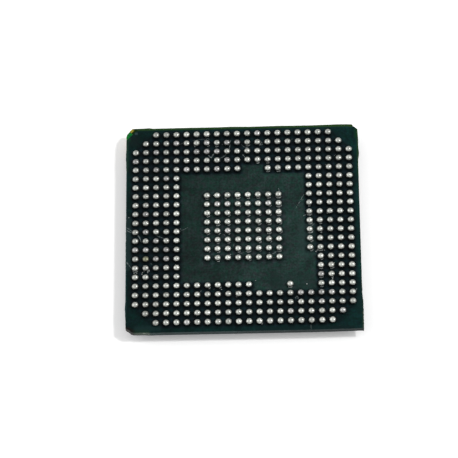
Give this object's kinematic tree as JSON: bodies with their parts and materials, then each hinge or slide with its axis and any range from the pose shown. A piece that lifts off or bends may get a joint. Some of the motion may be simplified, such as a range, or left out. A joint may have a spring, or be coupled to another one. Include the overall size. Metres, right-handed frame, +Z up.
{
  "type": "ball grid array chip",
  "caption": "Square ball grid array chip, moulded cap down, with a ring field and a centre field of solder balls on a green board.",
  "frame": {"origin": "centre of the mould cap's flat face, on which the chip lies", "axes": "+Z up, from the cap's flat face to the balls; +X to the right of the picture, +Y away from the viewer, with the first ball's corner at -X +Y"},
  "size_m": [0.023, 0.023, 0.0023],
  "materials": {
    "solder_ball": "reflowed solder, dull silver",
    "solder_mask": "dark green solder mask over copper",
    "laminate": "punched resin and glass laminate",
    "inner_copper": "rolled copper foil",
    "plated_copper": "gold-plated copper",
    "mould_compound": "fine black mould compound",
    "silicon": "polished silicon",
    "die_adhesive": "silver-filled adhesive",
    "bond_wire": "drawn gold wire"
  },
  "bodies": {
    "root": {"balls_row_a": "solder_ball", "balls_row_aa": "solder_ball", "balls_row_ab": "solder_ball", "balls_row_b": "solder_ball", "balls_row_c": "solder_ball", "balls_row_d": "solder_ball", "balls_row_e": "solder_ball", "balls_row_f": "solder_ball", "balls_row_g": "solder_ball", "balls_row_h": "solder_ball", "balls_row_j": "solder_ball", "balls_row_k": "solder_ball", "balls_row_l": "solder_ball", "balls_row_m": "solder_ball", "balls_row_n": "solder_ball", "balls_row_p": "solder_ball", "balls_row_r": "solder_ball", "balls_row_t": "solder_ball", "balls_row_u": "solder_ball", "balls_row_v": "solder_ball", "balls_row_w": "solder_ball", "balls_row_y": "solder_ball", "bond_fingers_far": "plated_copper", "bond_fingers_left": "plated_copper", "bond_fingers_near": "plated_copper", "bond_fingers_right": "plated_copper", "bond_wires_far": "bond_wire", "bond_wires_left": "bond_wire", "bond_wires_near": "bond_wire", "bond_wires_right": "bond_wire", "core": "laminate", "corner_mark": "plated_copper", "die": "silicon", "die_attach": "die_adhesive", "die_paddle": "plated_copper", "gate_strip": "plated_copper", "ground_ring": "plated_copper", "ground_sheet": "inner_copper", "mould_cap": "mould_compound", "power_ring": "plated_copper", "power_sheet": "inner_copper", "prepreg_ball_side": "laminate", "prepreg_die_side": "laminate", "solder_mask_ball_side": "solder_mask", "solder_mask_die_side": "solder_mask"}
  },
  "joints": []
}
